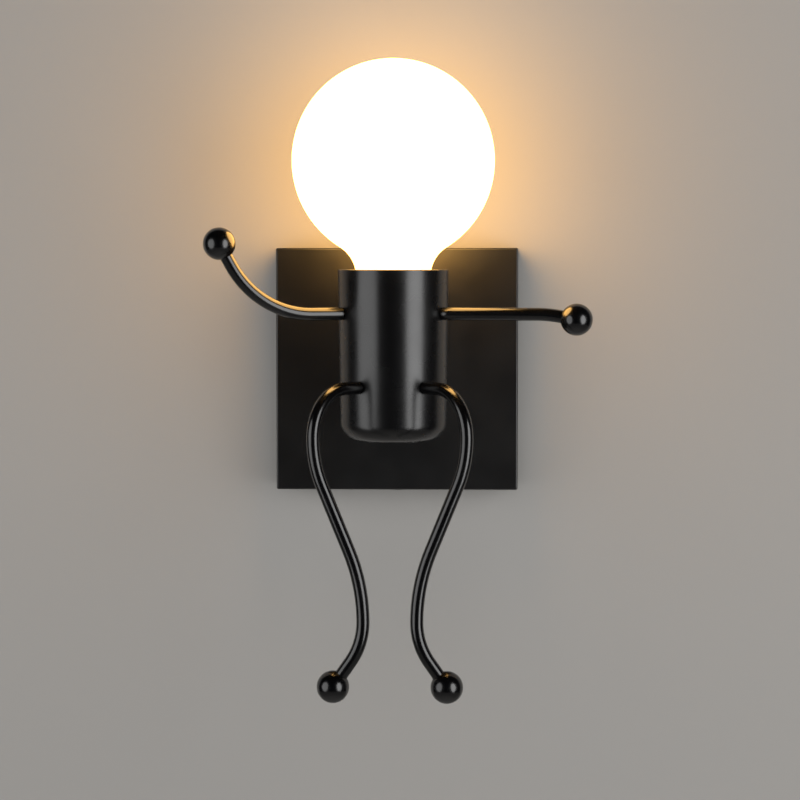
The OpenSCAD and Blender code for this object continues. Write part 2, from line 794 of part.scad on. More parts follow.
module lampholder_body() {
    edge = 1;
    waist_r = holder_r - waist;
    low_band = 8;
    top_band = 5;
    color(porcelain) at_axis() difference() {
        rotate_extrude() polygon([
            [0, holder_base], [holder_r - edge, holder_base], [holder_r, holder_base + edge],
            [holder_r, holder_base + low_band], [waist_r, holder_base + low_band + waist],
            [waist_r, holder_top - top_band - waist], [holder_r, holder_top - top_band],
            [holder_r, holder_top - edge], [holder_r - edge, holder_top],
            [holder_bore_r, holder_top], [holder_bore_r, floor_top], [0, floor_top]
        ]);
        for (side = [-1, 1]) translate([side * holder_screw_x, 0, holder_base - past])
            cylinder(d = m3_d + hole_gap, h = holder_floor + 2 * past);
        for (y = [live_y, neutral_y]) translate([0, y, holder_base - past])
            cylinder(d = rivet_d + spigot_gap, h = holder_floor + 2 * past);
    }
}

module lampholder_shell() {
    lining = concat(
        [plain_ring(thread_d / 2 + thread_gap, shell_bottom)],
        inside_thread(cap_bottom - thread_pitch, shell_top)
    );
    color(nickel) at_axis()
        ring_wall([plain_ring(shell_r, shell_bottom), plain_ring(shell_r, shell_top)], lining);
}

// Spring tongue that carries the live side to the bulb's tip, with its rivet
module centre_contact() {
    tongue_w = 4;
    tongue_t = 0.5;
    tail = live_y + tongue_w / 2;
    top = contact_rise - contact_gap;
    color(brass) at_axis() translate([0, 0, floor_top]) {
        translate([tongue_w / 2, 0, 0]) rotate([90, 0, -90]) linear_extrude(tongue_w) polygon([
            [-tail, 0], [-live_y / 2, 0], [-1, top - tongue_t], [tongue_w / 2, top - tongue_t],
            [tongue_w / 2, top], [-1.2, top], [-live_y / 2 - 0.2, tongue_t], [-tail, tongue_t]
        ]);
        translate([0, live_y, -holder_floor]) cylinder(d = rivet_d, h = holder_floor + tongue_t / 2);
    }
}

module side_contact() {
    color(brass) at_axis() translate([0, neutral_y, holder_base]) cylinder(d = rivet_d, h = holder_floor);
}

module holder_terminals() {
    color(brass) for (y = [live_y, neutral_y]) at_axis() translate([0, y, holder_base - post_h])
        difference() {
            translate([-post / 2, -post / 2, 0]) cube([post, post, post_h]);
            translate([0, 0, post_h / 2]) rotate([90, 0, 0])
                cylinder(d = wire_hole_d, h = post + past, center = true);
            translate([0, 0, -past]) cylinder(d = post_screw_d + spigot_gap, h = post_h / 2 + past);
        }
}

module holder_terminal_screws() {
    length = post_h / 2 - wire_d / 2 - spigot_gap / 2;
    color(zinc) for (y = [live_y, neutral_y]) at_axis() translate([0, y, holder_base - post_h])
        rotate([180, 0, 0]) slotted_screw(post_screw_d, length, post_head_d, post_head_t);
}

// Limbs

// Rod of one limb with its threaded stem, from a root at this angle and height
module limb_rod(angle, z, steps) {
    toward(angle, z) {
        translate([0, 0, stem_inner(z)]) cylinder(d = stem_d, h = shoulder(z) - stem_inner(z) + past);
        translate([0, 0, shoulder(z)]) bent_rod(steps, rod_d);
    }
}

module limb_ball(angle, z, steps) {
    toward(angle, z) translate([0, 0, shoulder(z)]) at_rod_end(steps)
        difference() {
            translate([0, 0, ball_d / 2 - ball_hole]) sphere(d = ball_d);
            translate([0, 0, -ball_d]) cylinder(d = rod_d + spigot_gap, h = ball_d);
        }
}

module limb_washer(angle, z) {
    toward(angle, z) translate([0, 0, washer_seat(z) - limb_washer_t])
        ring(limb_washer_d, stem_d + spigot_gap, limb_washer_t);
}

module limb_nut(angle, z) {
    toward(angle, z) translate([0, 0, washer_seat(z) - limb_washer_t - limb_nut_t])
        hex_nut(limb_nut_flats, stem_d + spigot_gap, limb_nut_t);
}

module left_arm() { color(satin_black) limb_rod(left_arm_dir, arm_z, left_arm_steps); }
module left_hand() { color(satin_black) limb_ball(left_arm_dir, arm_z, left_arm_steps); }
module left_arm_washer() { color(zinc) limb_washer(left_arm_dir, arm_z); }
module left_arm_nut() { color(zinc) limb_nut(left_arm_dir, arm_z); }

module right_arm() { color(satin_black) limb_rod(right_arm_dir, arm_z, right_arm_steps); }
module right_hand() { color(satin_black) limb_ball(right_arm_dir, arm_z, right_arm_steps); }
module right_arm_washer() { color(zinc) limb_washer(right_arm_dir, arm_z); }
module right_arm_nut() { color(zinc) limb_nut(right_arm_dir, arm_z); }

module right_leg() { color(satin_black) limb_rod(right_leg_dir, leg_z, leg_steps); }
module right_foot() { color(satin_black) limb_ball(right_leg_dir, leg_z, leg_steps); }
module right_leg_washer() { color(zinc) limb_washer(right_leg_dir, leg_z); }
module right_leg_nut() { color(zinc) limb_nut(right_leg_dir, leg_z); }

module left_leg() { mirror([1, 0, 0]) right_leg(); }
module left_foot() { mirror([1, 0, 0]) right_foot(); }
module left_leg_washer() { mirror([1, 0, 0]) right_leg_washer(); }
module left_leg_nut() { mirror([1, 0, 0]) right_leg_nut(); }

// Bulb

module bulb_contact_tip() {
    tip_r = 4.8;
    dome_t = tip_t / 2;
    color(nickel) at_axis() rotate_extrude()
        polygon([[0, tip_z], [tip_r - dome_t, tip_z], [tip_r, tip_z + dome_t], [tip_r, tip_z + tip_t],
                 [0, tip_z + tip_t]]);
}

module bulb_insulator() {
    foot_r = 5.2;
    color("#1f1f22") at_axis() rotate_extrude()
        polygon([[0, tip_z + tip_t], [foot_r, tip_z + tip_t], [root_r - cap_wall / 2, cap_bottom],
                 [0, cap_bottom]]);
}

module bulb_cap() {
    flare = 1.5;
    skin = concat(
        outside_thread(cap_bottom, cap_thread_top),
        [plain_ring(root_r, cap_thread_top + flare / 3), plain_ring(collar_r, cap_thread_top + flare),
         plain_ring(collar_r, cap_top)]
    );
    lining_r = root_r - cap_wall;
    color(nickel) at_axis()
        ring_wall(skin, [plain_ring(lining_r, cap_bottom), plain_ring(lining_r, cap_top)]);
}

// Half section of the glass envelope, each face moved inwards by inset
module glass_section(inset) {
    low = cap_top + inset;
    shoulder_in = shoulder_r - inset;
    centre_x = neck_r + neck_curve_r;
    touch = [centre_x, -globe_rise] * (globe_r - inset) / (globe_r + neck_curve_r);
    straight_r = neck_r - inset;
    polygon([
        [0, low], [neck_r - shoulder_r, low], [neck_r - shoulder_r, cap_top + shoulder_r],
        [straight_r, cap_top + shoulder_r], [straight_r, neck_top], [0, neck_top]
    ]);
    translate([neck_r - shoulder_r, cap_top + shoulder_r]) circle(shoulder_in);
    difference() {
        polygon([[0, neck_top], [centre_x, neck_top], [touch.x, globe_z + touch.y], [0, globe_z + touch.y]]);
        translate([centre_x, neck_top]) circle(neck_curve_r + inset);
    }
    intersection() {
        translate([0, globe_z]) circle(globe_r - inset);
        translate([0, globe_z + touch.y]) square([globe_r, 2 * globe_r]);
    }
}

// Half section of the glass wall between two heights
module glass_wall(low, high) {
    intersection() {
        difference() {
            glass_section(0);
            glass_section(glass_t);
        }
        translate([0, low]) square([globe_d, high - low]);
    }
}

// Glass neck, from its foot in the cap to the seam where the sphere begins
module bulb_neck() {
    color(opal) at_axis() difference() {
        rotate_extrude() glass_wall(cap_top, globe_seam);
        translate([0, 0, cap_top - past]) cylinder(r = stem_hole_r, h = glass_t + 2 * past);
    }
}

// Glass sphere, fused to the neck along the seam
module bulb_globe() {
    color(opal) at_axis() rotate_extrude() glass_wall(globe_seam, globe_z + globe_d);
}

// Glass stem with its flared foot, which closes the neck
stem_top = globe_z - globe_r / 2;
module bulb_stem() {
    flare_t = 1.6;
    flare_r = stem_hole_r - spigot_gap;
    stem_r = 3.5;
    color("#dfe7ea") at_axis() translate([0, 0, cap_top]) rotate_extrude()
        polygon([[0, 0], [flare_r, 0], [flare_r, flare_t], [stem_r, 3 * flare_t],
                 [stem_r, stem_top - cap_top], [0, stem_top - cap_top]]);
}

filament_count = 4;
filament_d = 1.8;
filament_foot_r = 7;
filament_head_r = 11;
filament_rise = 2;
filament_height = 36;
filament_low = [filament_foot_r, 0, stem_top + filament_rise];
filament_high = [filament_head_r, 0, filament_low.z + filament_height];
support_d = 0.8;
module led_filaments() {
    color("#ffc861") at_axis() for (k = [0 : filament_count - 1]) rotate(360 * k / filament_count)
        bar(filament_low, filament_high, filament_d);
}

// Post on the stem with an arm to each end of each filament
module filament_supports() {
    color(nickel) at_axis() {
        translate([0, 0, stem_top]) cylinder(d = support_d, h = filament_high.z - stem_top + support_d);
        for (k = [0 : filament_count - 1]) rotate(360 * k / filament_count)
            for (end = [filament_low, filament_high]) {
                reach_in = end.x - filament_d / 2 - spigot_gap;
                bar([0, 0, end.z], [reach_in, 0, end.z], support_d);
            }
    }
}

mounting_bracket();
canopy();
canopy_screws();
terminal_block();
terminal_clamps();
terminal_screws();
terminal_block_screw();
earth_screw();
earth_lugs();
earth_wire();
nipple();
rear_lock_washer();
rear_nut();
standoff_tube();
saddle_washer();
front_nut();
live_wire();
neutral_wire();
cup();
cup_screws();
holder_bracket();
holder_screws();
lampholder_body();
lampholder_shell();
centre_contact();
side_contact();
holder_terminals();
holder_terminal_screws();
left_arm();
left_hand();
left_arm_washer();
left_arm_nut();
right_arm();
right_hand();
right_arm_washer();
right_arm_nut();
left_leg();
left_foot();
left_leg_washer();
left_leg_nut();
right_leg();
right_foot();
right_leg_washer();
right_leg_nut();
bulb_contact_tip();
bulb_insulator();
bulb_cap();
bulb_neck();
bulb_globe();
bulb_stem();
filament_supports();
led_filaments();
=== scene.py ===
# %% [markdown]
# # A wall lamp that stands like a small figure
# The lamp is a square steel canopy on the wall, a tapered cup on a short tube, bent-rod arms and
# legs with ball ends, and a lit globe bulb. The CAD model is loaded first as a fixed frame: it holds
# every size and every joint. This file then gives each piece its surface and its fine shape.

import math

import bmesh
import bpy
from mathutils import Matrix, Vector


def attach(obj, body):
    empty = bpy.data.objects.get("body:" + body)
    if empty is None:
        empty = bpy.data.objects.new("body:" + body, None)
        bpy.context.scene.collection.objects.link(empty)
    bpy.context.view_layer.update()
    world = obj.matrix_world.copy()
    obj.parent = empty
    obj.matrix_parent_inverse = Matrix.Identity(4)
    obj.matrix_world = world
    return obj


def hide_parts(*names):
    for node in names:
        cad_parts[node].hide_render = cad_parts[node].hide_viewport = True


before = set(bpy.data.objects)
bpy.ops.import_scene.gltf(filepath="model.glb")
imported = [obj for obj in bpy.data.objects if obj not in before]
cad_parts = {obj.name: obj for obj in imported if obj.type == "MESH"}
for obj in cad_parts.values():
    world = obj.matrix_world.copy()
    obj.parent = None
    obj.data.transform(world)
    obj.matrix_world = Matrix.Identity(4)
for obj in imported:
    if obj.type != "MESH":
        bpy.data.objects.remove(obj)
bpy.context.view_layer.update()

# %% [markdown]
# ## Colours and nodes
# Colours are written as the sRGB hex values that a paint card would show. Shaders work in linear
# light, so one function converts them. Another adds any node to any tree, with its settings, its
# values and its links, and that is enough to build every material and every shape tree below. A third
# writes down the two ranges that a Map Range node joins.

# %% Three helpers
# Sockets of a Mix node that mixes two colours.
FACTOR, FIRST, SECOND, MIXED = 0, 6, 7, 2
TWO_COLOURS = {"data_type": "RGBA"}


def linear(hex_colour):
    """Linear RGBA of an sRGB hex colour."""
    channels = [int(hex_colour[i:i + 2], 16) / 255 for i in (1, 3, 5)]
    return [c / 12.92 if c <= 0.04045 else ((c + 0.055) / 1.055) ** 2.4 for c in channels] + [1.0]


def add_node(tree, kind, settings=None, values=None, links=None):
    """A new node with its properties set, its inputs filled and its links made."""
    node = tree.nodes.new(kind)
    for name, value in (settings or {}).items():
        setattr(node, name, value)
    for key, value in (values or {}).items():
        node.inputs[key].default_value = value
    for key, socket in (links or {}).items():
        tree.links.new(socket, node.inputs[key])
    return node


def carry(source, target=(0.0, 1.0)):
    """Values of a Map Range node that carries one range over to another."""
    return dict(zip(("From Min", "From Max", "To Min", "To Max"), (*source, *target)))


print("mid grey is", [round(c, 3) for c in linear("#808080")])

# %% [markdown]
# ## A plan for plain finishes
# Most surfaces here differ in only a few ways: two shades that run into each other, a roughness that
# wanders a little, and a fine grain that stands up from the surface. One function builds that plan.
# Its patterns read Object coordinates, which are metres on the lamp, so a pattern of so many
# millimetres has a scale of 1000 divided by that size. Stretching the coordinates turns the
# round spots of the noise into the streaks of a rolled or drawn metal.

# %% The grained finish
# A noise hardly leaves this range.
NOISE = (0.3, 0.7)


def per_mm(size):
    """Texture scale for a feature of this many millimetres."""
    return 1000 / size


def new_finish(name, values):
    """A new material with one Principled shader; gives the material, its tree and the shader."""
    material = bpy.data.materials.new(name)
    material.use_nodes = True
    tree = material.node_tree
    tree.nodes.clear()
    shader = add_node(tree, "ShaderNodeBsdfPrincipled", values=values)
    add_node(tree, "ShaderNodeOutputMaterial", links={"Surface": shader.outputs["BSDF"]})
    return material, tree, shader


def grained_finish(name, shades, roughness, spots_mm, grain_mm, depth_mm,
                   stretch=(1, 1, 1), **values):
    """A finish of two mottled shades with a roughness range, spots and a raised grain."""
    named = {key.replace("_", " "): value for key, value in values.items()}
    material, tree, shader = new_finish(name, named)
    where = add_node(tree, "ShaderNodeTexCoord").outputs["Object"]
    drawn = add_node(tree, "ShaderNodeMapping", values={"Scale": stretch}, links={"Vector": where})
    spots = add_node(tree, "ShaderNodeTexNoise", values={"Scale": per_mm(spots_mm), "Detail": 3.0},
                     links={"Vector": drawn.outputs["Vector"]})
    colour = add_node(tree, "ShaderNodeMix", TWO_COLOURS,
                      {FIRST: linear(shades[0]), SECOND: linear(shades[1])},
                      {FACTOR: spots.outputs["Fac"]})
    rough = add_node(tree, "ShaderNodeMapRange", values=carry(NOISE, roughness),
                     links={"Value": spots.outputs["Fac"]})
    fine = add_node(tree, "ShaderNodeTexNoise", values={"Scale": per_mm(grain_mm), "Detail": 1.0},
                    links={"Vector": drawn.outputs["Vector"]})
    raised = add_node(tree, "ShaderNodeBump", values={"Distance": depth_mm / 1000, "Strength": 1.0},
                      links={"Height": fine.outputs["Fac"]})
    tree.links.new(colour.outputs[MIXED], shader.inputs["Base Color"])
    tree.links.new(rough.outputs["Result"], shader.inputs["Roughness"])
    tree.links.new(raised.outputs["Normal"], shader.inputs["Normal"])
    return material


print("a 2 mm pattern has a scale of", per_mm(2))

# %% [markdown]
# ## Black powder coat
# Canopy, cup, tube, rods and balls are one colour: steel that is sprayed with powder and baked. The
# film flows before it sets, so it is a deep black with a faint orange peel, about a millimetre across
# and only microns deep. Its sheen comes from the roughness alone. A rod is hot all through and its
# film flows out to a gloss, the cup is satin, and the canopy's large folded sheet is the most matt.

# %% Powder coat
sheens = {"gloss": (0.18, 0.23), "satin": (0.25, 0.3), "matt": (0.34, 0.39)}
coats = {sheen: grained_finish(
    sheen + "_black_powder_coat", ("#030304", "#060607"), roughness, spots_mm=18,
    grain_mm=1.1, depth_mm=0.004, IOR=1.68) for sheen, roughness in sheens.items()}
print("made", [coat.name for coat in coats.values()])

# %% [markdown]
# ## Metals, ceramics and plastics
# Zinc-plated steel is grey with a faint blue and straw mottle. Drawn brass is yellow and a little
# tarnished, and the bulb's cap and the lampholder's shell are brass under warm nickel. Porcelain is a
# white body under a clear, slightly wavy glaze. Nylon is ivory and softly moulded, and the black
# glass in the bulb's foot is poured, so it is almost smooth. A metal keeps the default IOR.

# %% Finishes of the inner pieces
zinc_steel = grained_finish(
    "zinc_plated_steel", ("#b4bac4", "#cfc9b6"), (0.28, 0.44), spots_mm=7,
    grain_mm=0.5, depth_mm=0.004, stretch=(1, 1, 0.15), Metallic=1.0)
brass = grained_finish(
    "drawn_brass", ("#d9b45c", "#b98a3c"), (0.22, 0.38), spots_mm=4,
    grain_mm=0.4, depth_mm=0.003, stretch=(1, 0.2, 1), Metallic=1.0)
nickel = grained_finish(
    "nickel_plated_brass", ("#d5cfc2", "#bdb6a6"), (0.16, 0.28), spots_mm=6,
    grain_mm=0.4, depth_mm=0.002, stretch=(0.3, 0.3, 1), Metallic=1.0)
porcelain = grained_finish(
    "glazed_porcelain", ("#f2efe7", "#e9e4d8"), (0.1, 0.2), spots_mm=11,
    grain_mm=3, depth_mm=0.02, IOR=1.52, Coat_Weight=0.5, Coat_Roughness=0.05)
nylon = grained_finish(
    "moulded_nylon", ("#ebe7da", "#e1dcca"), (0.42, 0.55), spots_mm=5,
    grain_mm=0.5, depth_mm=0.01, IOR=1.53)
black_glass = grained_finish(
    "poured_black_glass", ("#121214", "#1b1b1e"), (0.06, 0.16), spots_mm=6,
    grain_mm=2.5, depth_mm=0.02, IOR=1.52)
clear_glass = grained_finish(
    "clear_lead_glass", ("#f3f8f8", "#e6efee"), (0.0, 0.04), spots_mm=12,
    grain_mm=4, depth_mm=0.02, IOR=1.53, Transmission_Weight=1.0)
phosphor = grained_finish(
    "silicone_phosphor", ("#f0b23c", "#e59d27"), (0.45, 0.6), spots_mm=3,
    grain_mm=0.6, depth_mm=0.03, IOR=1.41)
PVC_ROUGHNESS, PVC_SPOTS_MM, PVC_IOR = (0.36, 0.46), 6, 1.53
brown_pvc, blue_pvc = (grained_finish(
    name, shades, PVC_ROUGHNESS, PVC_SPOTS_MM, grain_mm=0.6, depth_mm=0.008, IOR=PVC_IOR)
    for name, shades in (("brown_pvc", ("#5b3019", "#683a20")), ("blue_pvc", ("#1c58a0", "#2666ae"))))
print("made", len(bpy.data.materials), "materials in all, with those of the frame")

# %% [markdown]
# ## Lit opal glass
# The bulb is blown in opal glass, which scatters the light so well that the whole globe glows and
# nothing shows through it. The glow belongs to the glass, so it sits on the shader's own emission
# sockets. It is warm, and strong enough that the eye and the camera see the globe as white, while
# the arms, the canopy and the wall take a golden light from it. Near the cap, where the filaments
# don't reach, the glass is a little darker: a ramp on the height does that.

# %% Opal glass
GLOW_RISE, OPAL_ROUGHNESS, SEEDS_MM = (0.040, 0.062), (0.08, 0.16), 9
opal_glass, tree, shader = new_finish("lit_opal_glass", {"IOR": 1.5, "Emission Strength": 10.0})
where = add_node(tree, "ShaderNodeTexCoord").outputs["Object"]
height = add_node(tree, "ShaderNodeSeparateXYZ", links={"Vector": where}).outputs["Z"]
rise = add_node(tree, "ShaderNodeMapRange", values=carry(GLOW_RISE), links={"Value": height})
glow = add_node(tree, "ShaderNodeMix", TWO_COLOURS,
                {FIRST: linear("#e6a04c"), SECOND: linear("#ffc062")},
                {FACTOR: rise.outputs["Result"]})
tree.links.new(glow.outputs[MIXED], shader.inputs["Emission Color"])
seeds = add_node(tree, "ShaderNodeTexNoise", values={"Scale": per_mm(SEEDS_MM), "Detail": 2.0},
                 links={"Vector": where})
body = add_node(tree, "ShaderNodeMix", TWO_COLOURS,
                {FIRST: linear("#fbf4e6"), SECOND: linear("#fffaf0")},
                {FACTOR: seeds.outputs["Fac"]})
tree.links.new(body.outputs[MIXED], shader.inputs["Base Color"])
gloss = add_node(tree, "ShaderNodeMapRange", values=carry(NOISE, OPAL_ROUGHNESS),
                 links={"Value": seeds.outputs["Fac"]})
tree.links.new(gloss.outputs["Result"], shader.inputs["Roughness"])
print("made", opal_glass.name)

# %% [markdown]
# ## Green and yellow earth wire
# The earth wire's cover is extruded in two colours that run along it. Its mesh will carry an
# attribute that says where a point lies on the wire's round section, so the stripe follows the wire
# through every bend, which a pattern in space could not do.

# %% Striped cover
STRIPE_EDGE = (0.00018, 0.00022)
earth_pvc, tree, shader = new_finish("green_and_yellow_pvc", {"IOR": PVC_IOR})
section = add_node(tree, "ShaderNodeAttribute", {"attribute_name": "section"})
side = add_node(tree, "ShaderNodeSeparateXYZ", links={"Vector": section.outputs["Vector"]})
stripe = add_node(tree, "ShaderNodeMapRange", values=carry(STRIPE_EDGE),
                  links={"Value": side.outputs["X"]})
cover = add_node(tree, "ShaderNodeMix", TWO_COLOURS,
                 {FIRST: linear("#3f8f35"), SECOND: linear("#e3cf2d")},
                 {FACTOR: stripe.outputs["Result"]})
tree.links.new(cover.outputs[MIXED], shader.inputs["Base Color"])
where = add_node(tree, "ShaderNodeTexCoord").outputs["Object"]
spots = add_node(tree, "ShaderNodeTexNoise", values={"Scale": per_mm(PVC_SPOTS_MM)},
                 links={"Vector": where})
rough = add_node(tree, "ShaderNodeMapRange", values=carry(NOISE, PVC_ROUGHNESS),
                 links={"Value": spots.outputs["Fac"]})
tree.links.new(rough.outputs["Result"], shader.inputs["Roughness"])
print("made", earth_pvc.name)

# %% [markdown]
# ## From millimetres to pieces
# Shapes below are drawn in millimetres, as a maker writes them, and become metres when the mesh is
# done. A finished piece sits at the origin with its place in its mesh, rides on one body of the
# frame, and takes the place of the CAD nodes that it draws more finely.

# %% Make a piece
MM, MERGE_MM, CREASE = 0.001, 1e-4, math.radians(35)


def in_metres(bm, place=Matrix.Identity(4)):
    """Mesh of a bmesh in millimetres, put in place and turned to metres, with outward faces."""
    bmesh.ops.remove_doubles(bm, verts=bm.verts, dist=MERGE_MM)
    bmesh.ops.recalc_face_normals(bm, faces=bm.faces)
    mesh = bpy.data.meshes.new("shape")
    bm.to_mesh(mesh)
    bm.free()
    mesh.transform(Matrix.Scale(MM, 4) @ place)
    return mesh


def add_object(name, mesh, finish=None):
    """A scene object that carries this mesh, with one material."""
    if finish:
        mesh.materials.clear()
        mesh.materials.append(finish)
    piece = bpy.data.objects.new(name, mesh)
    bpy.context.scene.collection.objects.link(piece)
    return piece


def add_piece(name, mesh, finish, body, slot, *nodes):
    """A finished piece of the lamp: smooth between creases, riding on its body."""
    mesh.shade_smooth()
    mesh.set_sharp_from_angle(angle=CREASE)
    piece = add_object(name, mesh, finish)
    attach(piece, body)
    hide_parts(*nodes)
    print(name, "has", len(mesh.polygons), "faces")
    return piece


print("a piece is drawn in units of", MM, "m")

# %% [markdown]
# ## Turned shapes
# The cup, the balls, the globe, the porcelain and the screws are all turned: one outline swept round
# an axis. The outline is a list of corners, each with its own rounding, because no real edge is
# sharp and the rounding is what catches the light. Spinning it in mesh code keeps the roundings
# even, where a bevel on a finished solid would have to find its edges first.


# %% Outline and lathe
def rounded(corners, step):
    """Points of an outline of (radius, height, fillet) corners, its arcs in steps of some degrees."""
    points = []
    for i, (r, z, fillet) in enumerate(corners):
        here = Vector((r, z))
        if not fillet:
            points.append(here)
            continue
        back = (Vector(corners[i - 1][:2]) - here).normalized()
        ahead = (Vector(corners[(i + 1) % len(corners)][:2]) - here).normalized()
        half = back.angle(ahead) / 2
        centre = here + (back + ahead).normalized() * fillet / math.sin(half)
        first = here + back * fillet / math.tan(half) - centre
        last = here + ahead * fillet / math.tan(half) - centre
        turn = math.pi - 2 * half
        count = max(2, math.ceil(math.degrees(turn) / step))
        for k in range(count + 1):
            a, b = math.sin(turn * (1 - k / count)), math.sin(turn * k / count)
            points.append(centre + (first * a + last * b) / math.sin(turn))
    return points


def arc(centre, radius, start, end, count):
    """Points of an arc from one angle to another, in degrees."""
    angles = [math.radians(start + (end - start) * k / count) for k in range(count + 1)]
    return [Vector(centre) + Vector((math.cos(a), math.sin(a))) * radius for a in angles]


def turned(outline, place, segments, closed=False):
    """Mesh of an outline turned about the height axis and put in place."""
    bm = bmesh.new()
    rows = []
    for k in range(segments):
        c, s = math.cos(math.tau * k / segments), math.sin(math.tau * k / segments)
        rows.append([bm.verts.new((p.x * c, p.x * s, p.y)) for p in outline])
    count = len(outline)
    for row, following in zip(rows, rows[1:] + rows[:1]):
        for i in range(count if closed else count - 1):
            j = (i + 1) % count
            bm.faces.new((row[i], following[i], following[j], row[j]))
    return in_metres(bm, place)


REACH = 75
AXIS = Matrix.Translation((0, -REACH, 0))
print("the cup's axis stands", REACH, "mm from the wall")

# %% [markdown]
# ## Trees that drill, set out and sweep
# Holes, screws, rods and wires repeat or follow a path, so Geometry Nodes make them. A drill tree
# puts a cutter on each point of a small guide mesh and subtracts them all. A second tree sets one
# screw out on such points, and a third sweeps a round section along a path. Each has named inputs and
# ends in real geometry with one material. The result is taken as a plain mesh.


# %% Tree helpers
def new_tree(name, inputs):
    """An empty tree with named inputs; gives the tree and the sockets that hand them in."""
    tree = bpy.data.node_groups.new(name, "GeometryNodeTree")
    for label, kind in inputs.items():
        tree.interface.new_socket(label, in_out="INPUT", socket_type="NodeSocket" + kind)
    tree.interface.new_socket("Geometry", in_out="OUTPUT", socket_type="NodeSocketGeometry")
    return tree, add_node(tree, "NodeGroupInput").outputs


def close_tree(tree, geometry, finish):
    """Ends a tree: instances become real, and one material covers the result."""
    real = add_node(tree, "GeometryNodeRealizeInstances", links={"Geometry": geometry})
    painted = add_node(tree, "GeometryNodeSetMaterial",
                       links={"Geometry": real.outputs["Geometry"], "Material": finish})
    add_node(tree, "NodeGroupOutput", links={0: painted.outputs["Geometry"]})


def grown(tree, base, **values):
    """The plain mesh that a tree grows from an object, which is used up."""
    modifier = base.modifiers.new(tree.name, "NODES")
    modifier.node_group = tree
    for item in tree.interface.items_tree:
        if item.in_out == "INPUT" and item.name in values:
            modifier[item.identifier] = values[item.name]
    evaluated = base.evaluated_get(bpy.context.evaluated_depsgraph_get())
    mesh = bpy.data.meshes.new_from_object(evaluated)
    bpy.data.objects.remove(base)
    return mesh


def guide(points, **attributes):
    """A guide mesh of points in millimetres, joined in a line, with vector or number attributes."""
    mesh = bpy.data.meshes.new("guide")
    links = [(i, i + 1) for i in range(len(points) - 1)]
    mesh.from_pydata([Vector(p) * MM for p in points], links, [])
    for name, column in attributes.items():
        vector = hasattr(column[0], "__len__")
        layer = mesh.attributes.new(name, "FLOAT_VECTOR" if vector else "FLOAT", "POINT")
        for item, value in zip(layer.data, column):
            setattr(item, "vector" if vector else "value", value)
    return add_object("guide", mesh)


print("trees take millimetres from a guide")

# %% The three trees
NUMBER, VECTOR = {"data_type": "FLOAT"}, {"data_type": "FLOAT_VECTOR"}

drill, given = new_tree("drill", {"Geometry": "Geometry", "Guide": "Object", "Sides": "Int",
                                  "Depth": "Float", "Finish": "Material"})
points = add_node(drill, "GeometryNodeObjectInfo", links={"Object": given["Guide"]})
along = add_node(drill, "GeometryNodeInputNamedAttribute", VECTOR, {"Name": "axis"})
bore = add_node(drill, "GeometryNodeInputNamedAttribute", NUMBER, {"Name": "bore"})
aim = add_node(drill, "FunctionNodeAlignRotationToVector", {"axis": "Z"},
               links={"Vector": along.outputs["Attribute"]})
width = add_node(drill, "ShaderNodeCombineXYZ", values={"Z": 1.0},
                 links={"X": bore.outputs["Attribute"], "Y": bore.outputs["Attribute"]})
cutter = add_node(drill, "GeometryNodeMeshCylinder", values={"Radius": 0.5},
                  links={"Vertices": given["Sides"], "Depth": given["Depth"]})
cutters = add_node(drill, "GeometryNodeInstanceOnPoints", links={
    "Points": points.outputs["Geometry"], "Instance": cutter.outputs["Mesh"],
    "Rotation": aim.outputs["Rotation"], "Scale": width.outputs["Vector"]})
solid = add_node(drill, "GeometryNodeRealizeInstances",
                 links={"Geometry": cutters.outputs["Instances"]})
cut = add_node(drill, "GeometryNodeMeshBoolean", {"operation": "DIFFERENCE", "solver": "EXACT"},
               links={"Mesh 1": given["Geometry"], "Mesh 2": solid.outputs["Geometry"]})
close_tree(drill, cut.outputs["Mesh"], given["Finish"])

set_out, given = new_tree("set out", {"Geometry": "Geometry", "Piece": "Object",
                                      "Finish": "Material"})
model = add_node(set_out, "GeometryNodeObjectInfo", links={"Object": given["Piece"]})
along = add_node(set_out, "GeometryNodeInputNamedAttribute", VECTOR, {"Name": "axis"})
aim = add_node(set_out, "FunctionNodeAlignRotationToVector", {"axis": "Z"},
               links={"Vector": along.outputs["Attribute"]})
copies = add_node(set_out, "GeometryNodeInstanceOnPoints", links={
    "Points": given["Geometry"], "Instance": model.outputs["Geometry"],
    "Rotation": aim.outputs["Rotation"]})
close_tree(set_out, copies.outputs["Instances"], given["Finish"])

sweep, given = new_tree("sweep", {"Geometry": "Geometry", "Radius": "Float", "Sides": "Int",
                                  "Finish": "Material"})
path = add_node(sweep, "GeometryNodeMeshToCurve", links={"Mesh": given["Geometry"]})
ring = add_node(sweep, "GeometryNodeCurvePrimitiveCircle",
                links={"Resolution": given["Sides"], "Radius": given["Radius"]})
spot = add_node(sweep, "GeometryNodeInputPosition")
marked = add_node(sweep, "GeometryNodeStoreNamedAttribute", VECTOR, {"Name": "section"},
                  {"Geometry": ring.outputs["Curve"], "Value": spot.outputs["Position"]})
girth = add_node(sweep, "GeometryNodeInputNamedAttribute", NUMBER, {"Name": "girth"})
tube = add_node(sweep, "GeometryNodeCurveToMesh", values={"Fill Caps": True}, links={
    "Curve": path.outputs["Curve"], "Profile Curve": marked.outputs["Geometry"],
    "Scale": girth.outputs["Attribute"]})
close_tree(sweep, tube.outputs["Mesh"], given["Finish"])
print("built", [t.name for t in bpy.data.node_groups])

# %% [markdown]
# ## The cup
# The figure's body is a cup of 1 mm steel, a hair wider at the rim than at the base, with a rounded
# bottom edge. Its wall is one closed outline, out along the bottom, up to the rim and back down
# inside, so the sheet has its real thickness. Holes take the tube's nipple, the four limbs and the
# two base screws.

